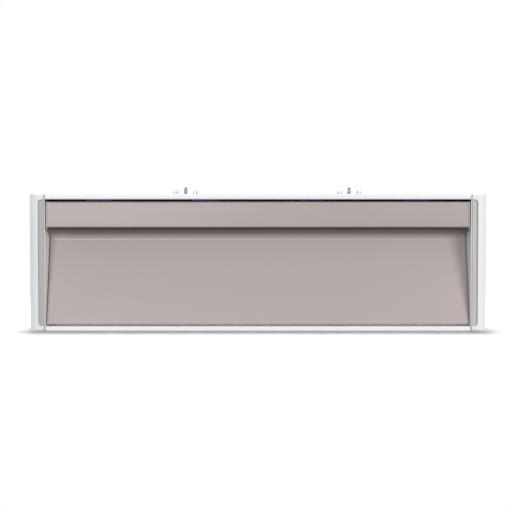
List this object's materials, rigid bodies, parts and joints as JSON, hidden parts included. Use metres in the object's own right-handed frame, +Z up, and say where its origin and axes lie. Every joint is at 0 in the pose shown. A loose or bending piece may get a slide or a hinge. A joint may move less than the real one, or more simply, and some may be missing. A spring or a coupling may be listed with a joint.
{
  "type": "letter plate",
  "caption": "Wide white-framed letter plate with a sprung, top-hung taupe flap that opens outwards, and sliding clamps with pointed screws along its top rail.",
  "frame": {"origin": "middle of the footprint on the plane the plate stands on, on its symmetry plane and half way through its depth", "axes": "+X along the width, to the right seen from the front; +Z up; the front with the flap faces -Y"},
  "size_m": [0.33, 0.04, 0.1056],
  "materials": {
    "rail_white": "white powder coat, satin",
    "cap_white": "white moulded plastic, satin",
    "strip_grey": "light grey-green moulded strip, matt",
    "side_plate_grey": "pale grey coated sheet",
    "flap_taupe": "taupe satin anodised",
    "flap_end_taupe": "brown-taupe moulding, satin",
    "steel": "bright zinc plated",
    "nylon_navy": "navy nylon",
    "nylon_natural": "natural nylon",
    "bumper_pale": "pale translucent elastomer",
    "seal_black": "black rubber, matt",
    "clamp_white": "white moulded plastic",
    "clamp_brass": "pale brass, machined"
  },
  "bodies": {
    "frame": {"top_rail": "rail_white", "bottom_rail": "rail_white", "side_plate_left": "side_plate_grey", "side_plate_right": "side_plate_grey", "end_cap_left": "cap_white", "end_cap_right": "cap_white", "cap_strip_left": "strip_grey", "cap_strip_right": "strip_grey", "frame_screw_left_top_front": "steel", "frame_screw_left_top_rear": "steel", "frame_screw_left_bottom_front": "steel", "frame_screw_left_bottom_rear": "steel", "frame_screw_right_top_front": "steel", "frame_screw_right_top_rear": "steel", "frame_screw_right_bottom_front": "steel", "frame_screw_right_bottom_rear": "steel", "hinge_bush_left": "nylon_natural", "hinge_bush_right": "nylon_natural", "hinge_clip_1": "nylon_navy", "hinge_clip_2": "nylon_navy", "hinge_clip_3": "nylon_navy", "hinge_clip_4": "nylon_navy", "bumper_1": "bumper_pale", "bumper_2": "bumper_pale", "bumper_3": "bumper_pale", "bumper_4": "bumper_pale", "closing_spring_left": "steel", "closing_spring_right": "steel", "top_seal": "seal_black"},
    "flap": {"flap_panel": "flap_taupe", "flap_end_left": "flap_end_taupe", "flap_end_right": "flap_end_taupe", "hinge_rod": "steel"},
    "clamp_left": {"clamp_block_left": "clamp_white"},
    "clamp_right": {"clamp_block_right": "clamp_white"},
    "clamp_screw_left": {"clamp_screw_left": "clamp_brass"},
    "clamp_screw_right": {"clamp_screw_right": "clamp_brass"}
  },
  "joints": [
    {"name": "flap_hinge", "type": "hinge", "parent": "frame", "child": "flap", "pos_m": [0, -0.0145, 0.0815], "axis": [-1, 0, 0], "range_deg": [0, 85], "stiffness_Nm_per_rad": 0.035, "springref_deg": -57.3, "deforming": ["closing_spring_left", "closing_spring_right"]},
    {"name": "clamp_left_slide", "type": "slide", "parent": "frame", "child": "clamp_left", "axis": [1, 0, 0], "range_m": [-0.03, 0.03]},
    {"name": "clamp_right_slide", "type": "slide", "parent": "frame", "child": "clamp_right", "axis": [1, 0, 0], "range_m": [-0.03, 0.03]},
    {"name": "clamp_screw_left_lift", "type": "slide", "parent": "clamp_left", "child": "clamp_screw_left", "axis": [0, 0, 1], "range_m": [-0.0065, 0.005]},
    {"name": "clamp_screw_right_lift", "type": "slide", "parent": "clamp_right", "child": "clamp_screw_right", "axis": [0, 0, 1], "range_m": [-0.0065, 0.005]}
  ]
}
